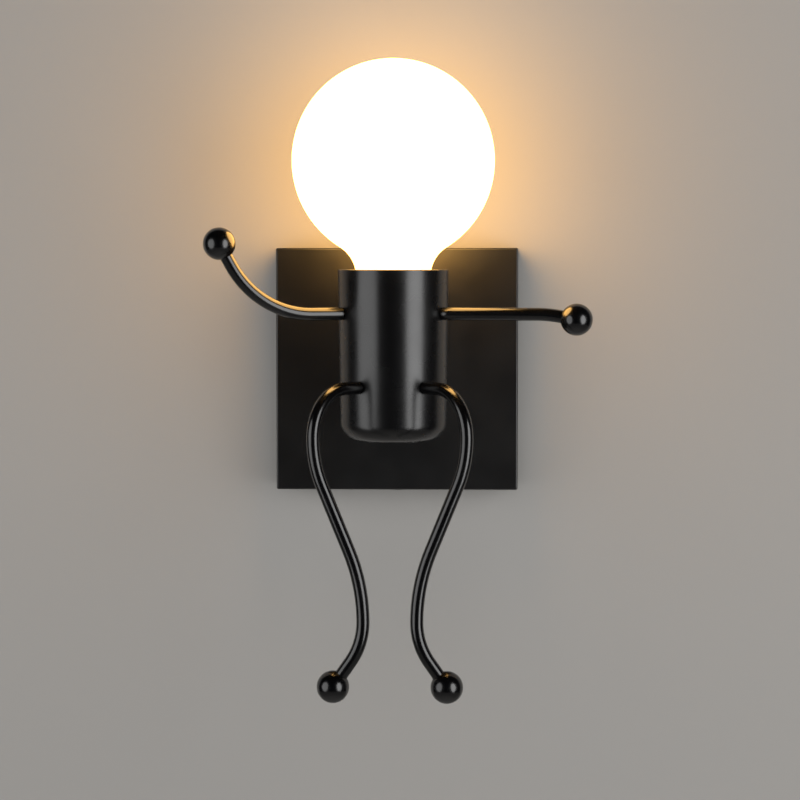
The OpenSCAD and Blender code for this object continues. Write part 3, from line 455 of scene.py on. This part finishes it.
# %% Cup
RIM_Z, RIM_R, RIM_EDGE = 49.3, 26, 0.45
BASE_Z, BASE_R, CORNER_R, SHEET = -30.7, 25, 8, 1
NIPPLE_HOLE, LIMB_HOLE, SCREW_HOLE, BASE_SCREW_X = 10.5, 5.5, 4.5, 8
ROUND_SIDES, CUP_CUT, CANOPY_CUT = 48, 8, 6
ARM_Z, ARM_ANGLE = 28.8, -25
LEG_Z, LEG_ANGLE = -5.2, -53


def cup_radius(z):
    """Outer radius of the cup at a height."""
    return BASE_R + (RIM_R - BASE_R) * (z - BASE_Z) / (RIM_Z - BASE_Z)


outline = rounded([
    (0, BASE_Z, 0), (BASE_R, BASE_Z, CORNER_R),
    (RIM_R, RIM_Z, RIM_EDGE), (RIM_R - SHEET, RIM_Z, RIM_EDGE),
    (BASE_R - SHEET, BASE_Z + SHEET, CORNER_R - SHEET), (0, BASE_Z + SHEET, 0)], step=6)
blank = add_object("blank", turned(outline, AXIS, segments=160))
holes = [(Vector((0, 1, 0)), 0, NIPPLE_HOLE)]
for angle, z in ((ARM_ANGLE, ARM_Z), (LEG_ANGLE, LEG_Z)):
    turn = math.radians(angle)
    holes += [(Vector((side * math.cos(turn), math.sin(turn), 0)), z, LIMB_HOLE) for side in (-1, 1)]
base_screws = [AXIS @ Vector((side * BASE_SCREW_X, 0, BASE_Z)) for side in (-1, 1)]
spots = [AXIS @ (way * cup_radius(z) + Vector((0, 0, z))) for way, z, bore in holes] + base_screws
ways = [way for way, z, bore in holes] + [Vector((0, 0, 1))] * 2
bores = [bore * MM for way, z, bore in holes] + [SCREW_HOLE * MM] * 2
marks = guide(spots, axis=ways, bore=bores)
shell = grown(drill, blank, Guide=marks, Sides=ROUND_SIDES, Depth=CUP_CUT * MM,
              Finish=coats["satin"])
add_piece("cup_shell", shell, coats["satin"], "lamp", "black_paint", "cup")
bpy.data.objects.remove(marks)

# %% [markdown]
# ## Arms and legs
# Each limb is one steel rod, bent cold over round formers, with a thin threaded end that goes through
# the cup to a nut. A bender's table describes it exactly: straight runs, and bends with a radius, an
# angle and a direction. The table is walked step by step to lay points on the path, and the sweep
# tree draws the rod along them, so every bend is a true arc. A leg leaves the cup straight on, turns
# down and then bends in a plane parallel to the wall. The left leg is the right one mirrored.

# %% Walk the bending tables
SEAT_GAP, BEND_STEP = 0.25, 2.5


def run(length):
    """A straight step of a rod."""
    return Matrix.Translation((0, 0, length)), 1


def bend(radius, angle, way):
    """One small part of a bend, and how many such parts make the whole bend."""
    count = max(2, math.ceil(angle / BEND_STEP))
    part = math.radians(angle) / count
    turn = Matrix.Rotation(math.radians(way), 4, "Z")
    ahead = Matrix.Translation((radius * (1 - math.cos(part)), 0, radius * math.sin(part)))
    return turn @ ahead @ Matrix.Rotation(part, 4, "Y") @ turn.inverted(), count


def limb_path(angle, z, steps):
    """Points of a rod's middle line, from the cup's wall at this angle and height to its end."""
    place = (AXIS @ Matrix.Translation((0, 0, z)) @ Matrix.Rotation(math.radians(angle), 4, "Z")
             @ Matrix.Rotation(math.radians(90), 4, "Y")
             @ Matrix.Translation((0, 0, cup_radius(z) + SEAT_GAP)))
    points = [place.translation.copy()]
    for part, count in steps:
        for _ in range(count):
            place = place @ part
            points.append(place.translation.copy())
    return points


DOWN, LEFT, UP = 0, 90, 180
BALL_HOLE = 5.5
# A hanging leg bends parallel to the wall in these two directions.
INWARD, OUTWARD = LEG_ANGLE, LEG_ANGLE + 180
leg_steps = [run(10.5), bend(21.5, 90, DOWN), run(0.3), bend(57, 22.2, INWARD), run(31.4),
             bend(86, 22.2, OUTWARD), bend(32, 35, OUTWARD), run(6.35 + BALL_HOLE)]
right_leg = limb_path(LEG_ANGLE, LEG_Z, leg_steps)
limb_paths = {
    "left_arm": limb_path(180 - ARM_ANGLE, ARM_Z, [
        run(15.4), bend(44.6, 60, UP), run(4.1 + BALL_HOLE)]),
    "right_arm": limb_path(ARM_ANGLE, ARM_Z, [
        run(1), bend(8, 15, LEFT), run(41), bend(60, 10.6, DOWN), run(0.1 + BALL_HOLE)]),
    "right_leg": right_leg,
    "left_leg": [Vector((-p.x, p.y, p.z)) for p in right_leg],
}
for name, points in limb_paths.items():
    print(name, "is", round(sum((b - a).length for a, b in zip(points, points[1:]))), "mm long")

# %% Rods and balls
ROD_R, ROD_EDGE, STEM_R, STEM_LENGTH, ROD_SIDES = 3, 0.2, 2.5, 6.1, 40
BALL_R, HOLE_R, HOLE_EDGE = 7.4, 3.05, 0.25
ball_centre = BALL_R - BALL_HOLE
mouth = -math.degrees(math.acos((HOLE_R + HOLE_EDGE) / BALL_R))
ball_outline = ([Vector((0, 0)), Vector((HOLE_R, 0)),
                 Vector((HOLE_R, ball_centre - math.sqrt(BALL_R ** 2 - HOLE_R ** 2) + HOLE_EDGE))]
                + arc((0, ball_centre), BALL_R, mouth, 90, 40))
for name, points in limb_paths.items():
    inward = (points[0] - points[1]).normalized()
    stem = [points[0] + inward * STEM_LENGTH, points[0]]
    line = stem + [points[0] - inward * ROD_EDGE] + points[1:]
    girth = [STEM_R / ROD_R] * len(stem) + [1.0] * (len(line) - len(stem))
    rod = grown(sweep, guide(line, girth=girth), Radius=ROD_R * MM, Sides=ROD_SIDES,
                Finish=coats["gloss"])
    add_piece(name + "_rod", rod, coats["gloss"], name + "_limb", "black_paint", name)
    ahead = (points[-1] - points[-2]).to_track_quat("Z", "Y").to_matrix().to_4x4()
    ball = turned(ball_outline, Matrix.Translation(points[-1]) @ ahead, segments=72)
    node = name.replace("arm", "hand").replace("leg", "foot")
    add_piece(node + "_ball", ball, coats["gloss"], name + "_limb", "black_paint", node)

# %% [markdown]
# ## The globe
# The bulb's glass starts at a small shoulder on the cap, runs straight for a moment, sweeps out in a
# hollow curve and becomes a ball. Three of these are arcs and all meet in line, so the outline is
# drawn from the arcs' centres, first outside and then back along the inside, and turned. A subdivided
# sphere would have needed the neck to be pulled out of it by hand.

# %% Globe
GLOBE_R, NECK_R, NECK_CURVE_R, SHOULDER_R, NECK_RUN = 47.5, 17.5, 16, 4.6, 0.96
CAP_TOP, FOOT_HOLE_R, GLASS = 40.7, 8, 0.8
neck_top = CAP_TOP + SHOULDER_R + NECK_RUN
globe_z = neck_top + math.sqrt((GLOBE_R + NECK_CURVE_R) ** 2 - (NECK_R + NECK_CURVE_R) ** 2)
meet = math.degrees(math.acos((NECK_R + NECK_CURVE_R) / (GLOBE_R + NECK_CURVE_R)))


def glass_line(inset):
    """Outline of the glass from its foot to its top, moved inwards."""
    return ([Vector((FOOT_HOLE_R, CAP_TOP + inset))]
            + arc((NECK_R - SHOULDER_R, CAP_TOP + SHOULDER_R), SHOULDER_R - inset, -90, 0, 10)
            + arc((NECK_R + NECK_CURVE_R, neck_top), NECK_CURVE_R + inset, 180, 180 - meet, 14)
            + arc((0, globe_z), GLOBE_R - inset, -meet, 90, 56)[1:])


glass = turned(glass_line(0) + glass_line(GLASS)[::-1], AXIS, segments=128, closed=True)
add_piece("globe_glass", glass, opal_glass, "bulb", "opal_glass", "bulb_globe", "bulb_neck")
print("the globe's centre is at", round(globe_z, 1), "mm")

# %% [markdown]
# ## The canopy
# The canopy is a square box of folded sheet, open towards the wall. A box with its back face taken
# off and its edges bevelled gives the folds their small radius, and Solidify gives the sheet its
# thickness. Large flat faces beside small rounded ones shade badly with averaged normals, so a
# Weighted Normal modifier lets the flat faces decide.

# %% Canopy
SIDE, DEPTH, FOLD_R, SCREW_Y = 120, 25, 0.9, -9
bm = bmesh.new()
bmesh.ops.create_cube(bm, size=1, matrix=Matrix.Translation((0, -DEPTH / 2, 0))
                      @ Matrix.Diagonal((SIDE, DEPTH, SIDE, 1)))
bmesh.ops.delete(bm, geom=[f for f in bm.faces if f.normal.y > 0.5], context="FACES_ONLY")
folds = [e for e in bm.edges if len(e.link_faces) == 2]
bmesh.ops.bevel(bm, geom=folds, offset=FOLD_R, segments=4, profile=0.5, affect="EDGES")
box = add_object("box", in_metres(bm))
sheet = box.modifiers.new("sheet", "SOLIDIFY")
sheet.thickness = SHEET * MM
sheet.offset = -1
sheet.use_even_offset = True
side_screws = [(0, SCREW_Y, SIDE / 2), (0, SCREW_Y, -SIDE / 2)]
marks = guide([(0, -DEPTH, 0)] + side_screws, axis=[(0, 1, 0), (0, 0, 1), (0, 0, 1)],
              bore=[NIPPLE_HOLE * MM, SCREW_HOLE * MM, SCREW_HOLE * MM])
folded = grown(drill, box, Guide=marks, Sides=ROUND_SIDES, Depth=CANOPY_CUT * MM,
               Finish=coats["matt"])
canopy = add_piece("canopy_box", folded, coats["matt"], "lamp", "black_paint", "canopy")
canopy.modifiers.new("flat faces lead", "WEIGHTED_NORMAL").keep_sharp = True
bpy.data.objects.remove(marks)

# %% [markdown]
# ## Painted screws
# Four low screws with a hexagon socket hold the canopy on its strap and the lampholder's bracket in
# the cup. A screw of each length is turned, the drill tree sinks a six-sided hole in its head, and
# the second tree sets copies of it out on the canopy or under the cup.

# %% Screws
HEAD_R, HEAD_T, HEAD_EDGE, SOCKET, SOCKET_T = 3.75, 1.4, 0.4, 2.8, 0.84
SHANK_R, TIP_EDGE, SEAT_EDGE = 2, 0.3, 0.1
for name, length, spots, ways in (
        ("canopy_screws", 5, side_screws, [(0, 0, 1), (0, 0, -1)]),
        ("cup_screws", 3.5, base_screws, [(0, 0, -1), (0, 0, -1)])):
    outline = rounded([(0, -length, 0), (SHANK_R, -length, TIP_EDGE), (SHANK_R, 0, 0),
                       (HEAD_R, 0, SEAT_EDGE), (HEAD_R, HEAD_T, HEAD_EDGE), (0, HEAD_T, 0)], step=15)
    blank = add_object("blank", turned(outline, Matrix.Identity(4), segments=48))
    marks = guide([(0, 0, HEAD_T)], axis=[(0, 0, 1)], bore=[SOCKET * MM])
    screw = add_object("screw", grown(drill, blank, Guide=marks, Sides=6, Depth=2 * SOCKET_T * MM,
                                      Finish=coats["satin"]))
    screws = grown(set_out, guide(spots, axis=ways), Piece=screw, Finish=coats["satin"])
    add_piece(name + "_painted", screws, coats["satin"], "lamp", "black_paint", name)
    for helper in (marks, screw):
        bpy.data.objects.remove(helper)

# %% [markdown]
# ## Wiring
# A brown and a blue wire run from the terminal block through the nipple to the lampholder, and a
# striped earth wire joins the canopy to the strap. Their routes are a few given points. A
# smooth curve goes through all of them, and the sweep tree draws the round cover along it.


# %% Wires
def smooth_route(route, parts=6):
    """Points of a smooth curve through every point of a route."""
    ends = [route[0]] + list(route) + [route[-1]]
    points = []
    for a, b, c, d in (map(Vector, ends[i:i + 4]) for i in range(len(route) - 1)):
        for t in (k / parts for k in range(parts)):
            points.append((2 * b + (c - a) * t + (2 * a - 5 * b + 4 * c - d) * t ** 2
                           + (3 * b - a - 3 * c + d) * t ** 3) / 2)
    return points + [Vector(route[-1])]


def rear_route(side):
    """From the terminal block through the nipple, on one side of the middle."""
    return [(5.2 * side, -7, -14.1), (5.2 * side, -7, -7.6), (5.2 * side, -7.5, -5),
            (4.2 * side, -10, -1.8), (2.6 * side, -13.5, -0.2), (1.7 * side, -17, 0),
            (1.7 * side, -25, 0), (1.7 * side, -48.22, 0), (1.7 * side, -56.22, 0)]


WIRE_R, WIRE_SIDES = 1, 16
routes = {
    "live_wire": (brown_pvc, "brown_pvc", rear_route(-1) + [
        (-1.2, -59.02, 1.63), (-0.2, -61.8, 3.25), (0, -63.5, 3.25), (0, -65.5, 3.25)]),
    "neutral_wire": (blue_pvc, "blue_pvc", rear_route(1) + [
        (3, -62, -3), (4, -68, -5.5), (4, -75, -6.5), (2.6, -80, -3.5), (1, -83.13, 1.85),
        (0, -85.13, 3.25), (0, -88.03, 3.25)]),
    "earth_wire": (earth_pvc, "earth_pvc", [
        (12, -21.3, 0), (17.8, -21.3, 0), (21, -20.5, 1), (24, -13, 8.38), (20, -6, 14.75),
        (17, -3.2, 16.75), (12.8, -3.2, 16.75), (7, -3.2, 16.75)]),
}
for name, (finish, slot, route) in routes.items():
    points = smooth_route(route)
    wire = grown(sweep, guide(points, girth=[1.0] * len(points)), Radius=WIRE_R * MM,
                 Sides=WIRE_SIDES, Finish=finish)
    add_piece(name + "_cover", wire, finish, "lamp", slot, name)

# %% [markdown]
# ## Lampholder and bulb cap
# The porcelain holder is a thick turned ring with a waist. Its corners are round, because a glaze
# pulls away from a sharp edge. The bulb's cap is thin brass with a rolled thread: a wave that climbs
# one pitch with each turn and fades out at both ends. The same lathe makes it if the radius may swell
# with the angle, which gives the true helix that a stack of rings would miss.

# %% Porcelain
HOLDER_R, WAIST_R, HOLDER_LOW, HOLDER_TOP, FLOOR_Z, BORE_R = 17.78, 16.58, 6, 39.2, 10.5, 14.15
FIXING_X, LIVE_Y, NEUTRAL_Y, FIXING_HOLE, RIVET_HOLE = 9, 9.5, -13.03, 3.5, 2.5
FLOOR_SIDES, FLOOR_CUT = 24, 6
outline = rounded([
    (0, HOLDER_LOW, 0), (HOLDER_R, HOLDER_LOW, 1), (HOLDER_R, HOLDER_LOW + 8, 0.5),
    (WAIST_R, HOLDER_LOW + 9.2, 0.5), (WAIST_R, HOLDER_TOP - 6.2, 0.5),
    (HOLDER_R, HOLDER_TOP - 5, 0.5), (HOLDER_R, HOLDER_TOP, 1.2),
    (BORE_R, HOLDER_TOP, 0.8), (BORE_R, FLOOR_Z, 0.6), (0, FLOOR_Z, 0)], step=15)
blank = add_object("blank", turned(outline, AXIS, segments=96))
mid_floor = (HOLDER_LOW + FLOOR_Z) / 2
spots = [AXIS @ Vector((x, y, mid_floor))
         for x, y in ((-FIXING_X, 0), (FIXING_X, 0), (0, LIVE_Y), (0, NEUTRAL_Y))]
marks = guide(spots, axis=[(0, 0, 1)] * 4, bore=[FIXING_HOLE * MM] * 2 + [RIVET_HOLE * MM] * 2)
ring = grown(drill, blank, Guide=marks, Sides=FLOOR_SIDES, Depth=FLOOR_CUT * MM, Finish=porcelain)
add_piece("porcelain_holder", ring, porcelain, "lamp", "porcelain", "lampholder_body")
bpy.data.objects.remove(marks)

# %% Threaded cap
ROOT_R, THREAD_H, PITCH, CAP_LOW, THREAD_TOP = 12.1, 1, 3.629, 19.7, 36.2
COLLAR_R, CAP_WALL, TURN_SIDES, ROWS_PER_PITCH = 13.3, 0.9, 96, 12
rows = math.ceil((THREAD_TOP - CAP_LOW) / PITCH * ROWS_PER_PITCH)
wall = [Vector((ROOT_R, CAP_LOW + (THREAD_TOP - CAP_LOW) * k / rows)) for k in range(rows + 1)]
outline = wall + [Vector(p) for p in (
    (ROOT_R, 36.7), (12.3, 37), (13, 37.4), (COLLAR_R, 37.8), (COLLAR_R, 40.4),
    (COLLAR_R - 0.3, CAP_TOP), (ROOT_R - CAP_WALL, CAP_TOP), (ROOT_R - CAP_WALL, CAP_LOW))]
bm = bmesh.new()
rings = []
for k in range(TURN_SIDES):
    angle = math.tau * k / TURN_SIDES
    ring = []
    for i, p in enumerate(outline):
        fade = min(1, max(0, 2 * (p.y - CAP_LOW) / PITCH), max(0, 2 * (THREAD_TOP - p.y) / PITCH))
        wave = (1 + math.cos(math.tau * p.y / PITCH - angle)) / 2 if i <= rows else 0
        radius = p.x + THREAD_H * fade * wave
        ring.append(bm.verts.new((radius * math.cos(angle), radius * math.sin(angle), p.y)))
    rings.append(ring)
for ring, following in zip(rings, rings[1:] + rings[:1]):
    for i in range(len(outline)):
        j = (i + 1) % len(outline)
        bm.faces.new((ring[i], following[i], following[j], ring[j]))
add_piece("threaded_cap", in_metres(bm, AXIS), nickel, "bulb", "nickel", "bulb_cap")

# %% [markdown]
# ## The pieces that stay as CAD
# Nuts, washers, the strap, the tube, the terminals and what is inside the globe have the right shape
# already. They keep their CAD mesh and only take their finish.

# %% Finish the CAD pieces
finishes = {
    coats["satin"]: ["standoff_tube"],
    zinc_steel: ["mounting_bracket", "terminal_screws", "terminal_block_screw", "nipple",
                 "rear_lock_washer", "rear_nut", "saddle_washer", "front_nut", "holder_bracket",
                 "holder_screws", "holder_terminal_screws"]
                + [limb + end for limb in limb_paths for end in ("_washer", "_nut")],
    brass: ["terminal_clamps", "earth_screw", "centre_contact", "side_contact", "holder_terminals"],
    nickel: ["earth_lugs", "lampholder_shell", "bulb_contact_tip", "filament_supports"],
    nylon: ["terminal_block"],
    black_glass: ["bulb_insulator"],
    clear_glass: ["bulb_stem"],
    phosphor: ["led_filaments"],
}
for finish, names in finishes.items():
    for name in names:
        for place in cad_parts[name].material_slots:
            place.material = finish
    print(finish.name, "covers", len(names), "CAD pieces")

# %% [markdown]
# ## Wall, floor and studio light
# The lamp hangs on a plain wall panel above a pale floor. The panel shows only from its front, so the
# lamp can be looked at from behind, and it has an opening behind the canopy, so light reaches the
# wiring. Two tall softboxes at the sides make the two soft bands on the cup. A large fill lamp lights
# the panel evenly, but mirrors don't see it, and the room in front is dark, as a studio is: black
# paint has almost no colour of its own, so it looks black only where it mirrors something dark. To
# the camera, to glass and to what looks past the panel, the world is a pale backdrop.

# %% Stage
WALL_Y, WALL_HALF, HOLE_HALF, FLOOR_HALF, FLOOR_DROP = 0.0006, 0.25, 0.059, 3, 1.5
DULL = {"Roughness": 0.9, "Specular IOR Level": 0.1}
MAXIMUM = {"operation": "MAXIMUM"}


def square(half):
    """Corners of a square round the middle, in order."""
    return [(-half, -half), (half, -half), (half, half), (-half, half)]


def seen_directly(tree):
    """A socket that is 1 for what the camera sees, straight or through glass, and otherwise 0."""
    ray = add_node(tree, "ShaderNodeLightPath").outputs
    both = {0: ray["Is Camera Ray"], 1: ray["Is Transmission Ray"]}
    return add_node(tree, "ShaderNodeMath", MAXIMUM, links=both).outputs["Value"]


corners = [(x, WALL_Y, z) for half in (HOLE_HALF, WALL_HALF) for x, z in square(half)]
wall_mesh = bpy.data.meshes.new("wall")
wall_mesh.from_pydata(corners, [], [(i, i + 4, (i + 1) % 4 + 4, (i + 1) % 4) for i in range(4)])
floor_mesh = bpy.data.meshes.new("floor")
floor_mesh.from_pydata([(x, y, -FLOOR_DROP) for x, y in square(FLOOR_HALF)], [], [(0, 1, 2, 3)])

plaster, tree, shader = new_finish("pale_plaster", {"Base Color": linear("#979592"), **DULL})
face = add_node(tree, "ShaderNodeNewGeometry")
clear = add_node(tree, "ShaderNodeBsdfTransparent")
one_sided = add_node(tree, "ShaderNodeMixShader", links={
    0: face.outputs["Backfacing"], 1: shader.outputs["BSDF"], 2: clear.outputs["BSDF"]})
tree.links.new(one_sided.outputs["Shader"], tree.nodes["Material Output"].inputs["Surface"])
paper, tree, shader = new_finish("pale_paper", {
    "Base Color": linear("#d2d0cd"), "Emission Color": linear("#b4b2b0"), **DULL})
tree.links.new(seen_directly(tree), shader.inputs["Emission Strength"])
wall = add_object("wall", wall_mesh, plaster)
floor = add_object("floor", floor_mesh, paper)
print("the wall faces", tuple(round(c) for c in wall_mesh.polygons[0].normal))

# %% World and lamps
PALE_FROM, TARGET = (0.3, 0.6), Vector((0, -0.075, 0.03))
scene = bpy.context.scene
scene.view_settings.view_transform = "Standard"
world = bpy.data.worlds.new("studio")
scene.world = world
world.use_nodes = True
tree = world.node_tree
tree.nodes.clear()
way = add_node(tree, "ShaderNodeTexCoord").outputs["Generated"]
depth = add_node(tree, "ShaderNodeSeparateXYZ", links={"Vector": way}).outputs["Y"]
behind = add_node(tree, "ShaderNodeMapRange", values=carry(PALE_FROM), links={"Value": depth})
pale = add_node(tree, "ShaderNodeMath", MAXIMUM,
                links={0: behind.outputs["Result"], 1: seen_directly(tree)})
room = add_node(tree, "ShaderNodeMix", TWO_COLOURS,
                {FIRST: linear("#0a0a0a"), SECOND: linear("#dcdad8")},
                {FACTOR: pale.outputs["Value"]})
sky = add_node(tree, "ShaderNodeBackground", links={"Color": room.outputs[MIXED]})
add_node(tree, "ShaderNodeOutputWorld", links={"Surface": sky.outputs["Background"]})

for name, azimuth, far, width, height, watts, spread in (
        ("softbox_left", -55, 1.25, 1.05, 1.3, 5.7, 180),
        ("softbox_right", 47.5, 1.25, 0.8, 1.3, 8.7, 180),
        ("fill", 0, 3, 3.4, 3.4, 15, 70)):
    lamp = bpy.data.lights.new(name, "AREA")
    lamp.shape = "ELLIPSE"
    lamp.size, lamp.size_y = width, height
    lamp.energy = watts
    lamp.spread = math.radians(spread)
    turn = math.radians(azimuth)
    softbox = bpy.data.objects.new(name, lamp)
    softbox.location = TARGET + Vector((math.sin(turn), -math.cos(turn), 0)) * far
    softbox.rotation_euler = (TARGET - softbox.location).to_track_quat("-Z", "Y").to_euler()
    softbox.visible_camera = False
    softbox.visible_glossy = name != "fill"
    scene.collection.objects.link(softbox)
    print(name, "is", far, "m away")

# %% [markdown]
# ## Camera
# The photograph is taken from about a metre away, a little to the right, with the lens level with
# the cup's rim. The camera looks at the middle of the picture, so it needs no shift.

# %% Camera
FOCAL_MM, SENSOR_MM = 92.7, 36
LENS_AT, LENS_WAY = (0.034, -1.045, 0.0493), Vector((-0.0318, 1, -0.0633))
view = bpy.data.cameras.new("view")
view.lens = FOCAL_MM
view.sensor_width = SENSOR_MM
camera = bpy.data.objects.new("view", view)
camera.location = LENS_AT
camera.rotation_euler = LENS_WAY.to_track_quat("-Z", "Y").to_euler()
scene.collection.objects.link(camera)
scene.camera = camera
print("camera at", tuple(round(c, 3) for c in camera.location))
